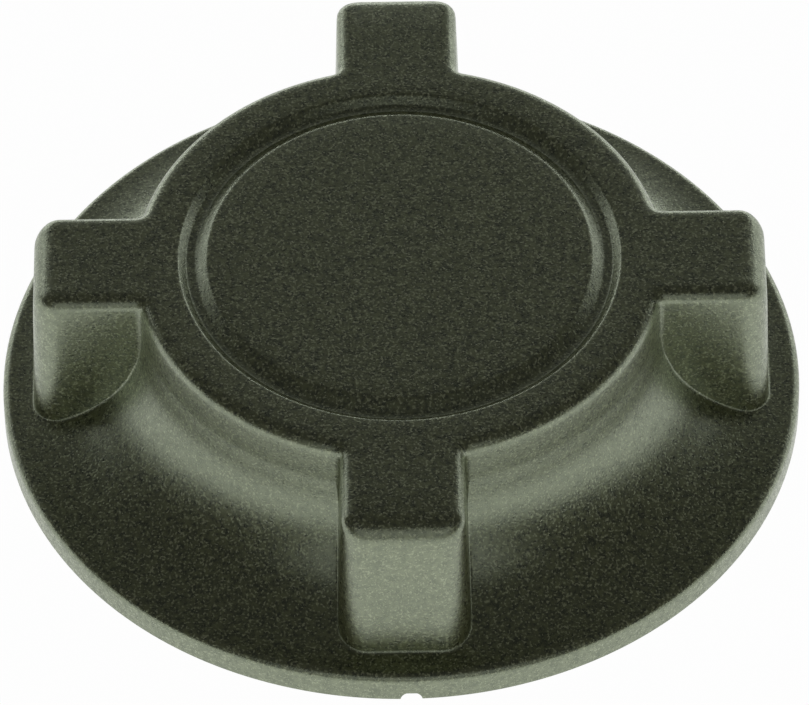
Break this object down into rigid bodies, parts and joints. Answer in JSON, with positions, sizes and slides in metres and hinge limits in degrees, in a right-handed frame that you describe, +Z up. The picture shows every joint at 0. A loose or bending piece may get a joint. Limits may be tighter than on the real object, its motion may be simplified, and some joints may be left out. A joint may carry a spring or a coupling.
{
  "type": "coolant reservoir cap",
  "caption": "Screw-on coolant reservoir cap: round flange sweeping up into a hub with grip lugs and a ring groove, with a sprung pressure and vacuum valve inside.",
  "frame": {"origin": "on the cap's axis, in the plane of the flange's flat underside", "axes": "+Z up along the cap's axis, from the open underside to the top; one grip lug points along -Y, the side the picture is seen from"},
  "size_m": [0.07, 0.07, 0.0182],
  "materials": {
    "cap_plastic": "glass-filled moulding, dark olive black, finely speckled satin",
    "insert_plastic": "moulded satin",
    "seal_rubber": "smooth moulded rubber",
    "valve_brass": "pressed, lightly dulled",
    "spring_steel": "drawn wire"
  },
  "bodies": {
    "cap": {"cap_body": "cap_plastic"},
    "valve_insert": {"valve_pot": "insert_plastic", "pot_cover": "insert_plastic", "neck_seal": "seal_rubber", "pressure_spring": "spring_steel"},
    "pressure_valve": {"pressure_plate": "valve_brass", "pressure_seal": "seal_rubber", "vacuum_spring": "spring_steel"},
    "vacuum_valve": {"vacuum_poppet": "valve_brass", "stem_clip": "spring_steel"}
  },
  "joints": [
    {"name": "insert_swivel", "type": "hinge", "parent": "cap", "child": "valve_insert", "pos_m": [0, 0, 0], "axis": [0, 0, 1], "continuous": true},
    {"name": "pressure_lift", "type": "slide", "parent": "valve_insert", "child": "pressure_valve", "axis": [0, 0, 1], "range_m": [0, 0.002], "stiffness_N_per_m": 200, "springref_m": -0.0025, "deforming": ["pressure_spring"]},
    {"name": "vacuum_open", "type": "slide", "parent": "pressure_valve", "child": "vacuum_valve", "axis": [0, 0, -1], "range_m": [0, 0.0012], "stiffness_N_per_m": 60, "springref_m": -0.0015, "deforming": ["vacuum_spring"]}
  ]
}
